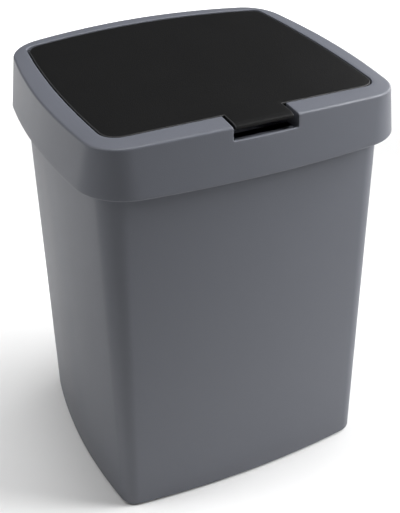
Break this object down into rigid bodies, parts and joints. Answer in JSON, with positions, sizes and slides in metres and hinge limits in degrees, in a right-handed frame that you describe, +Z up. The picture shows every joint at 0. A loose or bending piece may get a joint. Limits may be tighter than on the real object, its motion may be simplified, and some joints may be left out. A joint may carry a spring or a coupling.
{
  "type": "push top countertop bin",
  "caption": "Tapered, bowed rectangular bin with a lift-off lid frame and a dark hinged flap that is opened by pressing a tab at its front edge.",
  "frame": {"origin": "centre of the bin's footprint, on the surface that its pads stand on", "axes": "+Z up, -Y towards the front, where the press tab is, +X to the right as seen from the front"},
  "size_m": [0.2454, 0.22, 0.3218],
  "materials": {
    "grey_plastic": "fine matte, moulded",
    "black_plastic": "fine matte, moulded",
    "latch_plastic": "smooth, slightly waxy",
    "steel": "drawn wire and bright rod",
    "rubber": "matte"
  },
  "bodies": {
    "bin": {"tub": "grey_plastic", "pad_front_left": "rubber", "pad_front_right": "rubber", "pad_rear_left": "rubber", "pad_rear_right": "rubber"},
    "lid": {"lid_frame": "grey_plastic", "bumper_left": "rubber", "bumper_right": "rubber", "latch_housing": "latch_plastic", "latch_cover": "latch_plastic", "latch_screw_left": "steel", "latch_screw_right": "steel", "latch_follower": "steel", "latch_spring": "steel", "flap_spring_left": "steel", "flap_spring_right": "steel"},
    "rod": {"hinge_rod": "steel", "rod_clip_left": "steel", "rod_clip_right": "steel"},
    "flap": {"flap_panel": "black_plastic", "striker": "latch_plastic"},
    "plunger": {"latch_plunger": "latch_plastic"}
  },
  "joints": [
    {"name": "lid_lift", "type": "slide", "parent": "bin", "child": "lid", "axis": [0, 0, 1], "range_m": [0, 0.06]},
    {"name": "flap_press", "type": "hinge", "parent": "lid", "child": "rod", "pos_m": [0, 0.087, 0.31614], "axis": [-1, 0, 0], "range_deg": [-0.8, 0], "stiffness_Nm_per_rad": 12, "springref_deg": 2.86},
    {"name": "flap_open", "type": "hinge", "parent": "rod", "child": "flap", "pos_m": [0, 0.087, 0.31614], "axis": [-1, 0, 0], "range_deg": [0, 80]},
    {"name": "latch_slide", "type": "slide", "parent": "lid", "child": "plunger", "axis": [0, 0, 1], "range_m": [-0.0024, 0], "deforming": ["latch_spring"]}
  ],
  "couplings": [
    {"joint": "latch_slide", "follows": "flap_press", "m_per_rad": 0.1694}
  ]
}
